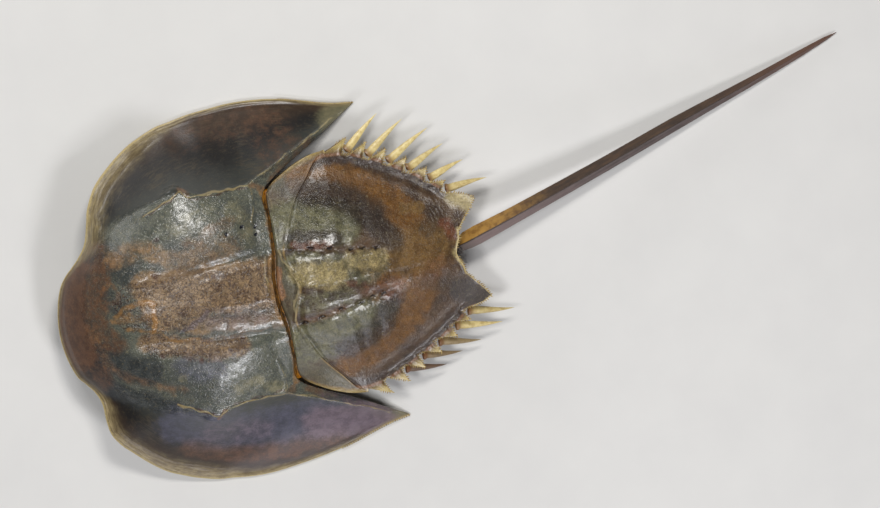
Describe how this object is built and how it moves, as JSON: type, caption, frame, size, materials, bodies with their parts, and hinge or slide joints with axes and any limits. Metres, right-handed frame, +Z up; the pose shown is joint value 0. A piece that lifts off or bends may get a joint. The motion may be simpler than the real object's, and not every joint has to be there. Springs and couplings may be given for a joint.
{
  "type": "horseshoe crab shell",
  "caption": "Dried empty shell of a male horseshoe crab: domed front shield, rear shield with spined margins, and a long pointed tail spine.",
  "frame": {"origin": "on the floor, under the middle of the whole shell's box", "axes": "+X towards the tail, +Y towards the animal's right side, +Z up"},
  "size_m": [0.5314, 0.244, 0.0715],
  "materials": {
    "front_shell": "olive-grey to brown horny shell, varnished gloss, finely granular on top and smooth on the flanks",
    "rear_shell": "brown and olive-green horny shell, glossy and finely pitted, with a dark margin and pale rim",
    "hinge_skin": "dry amber skin, folded, half gloss",
    "tail_shell": "dark purple-brown horn with an amber root and a fine saw-toothed ridge",
    "tail_skin": "dark dry skin",
    "spine_horn": "pale yellow horn, brown at the root, half gloss"
  },
  "bodies": {
    "root": {"prosoma": "front_shell", "opisthosoma": "rear_shell", "hinge_membrane": "hinge_skin", "telson": "tail_shell", "telson_membrane": "tail_skin", "movable_spine_right_1": "spine_horn", "movable_spine_right_2": "spine_horn", "movable_spine_right_3": "spine_horn", "movable_spine_right_4": "spine_horn", "movable_spine_right_5": "spine_horn", "movable_spine_right_6": "spine_horn", "movable_spine_left_2": "spine_horn", "movable_spine_left_3": "spine_horn", "movable_spine_left_4": "spine_horn", "movable_spine_left_5": "spine_horn", "movable_spine_left_6": "spine_horn"}
  },
  "joints": []
}
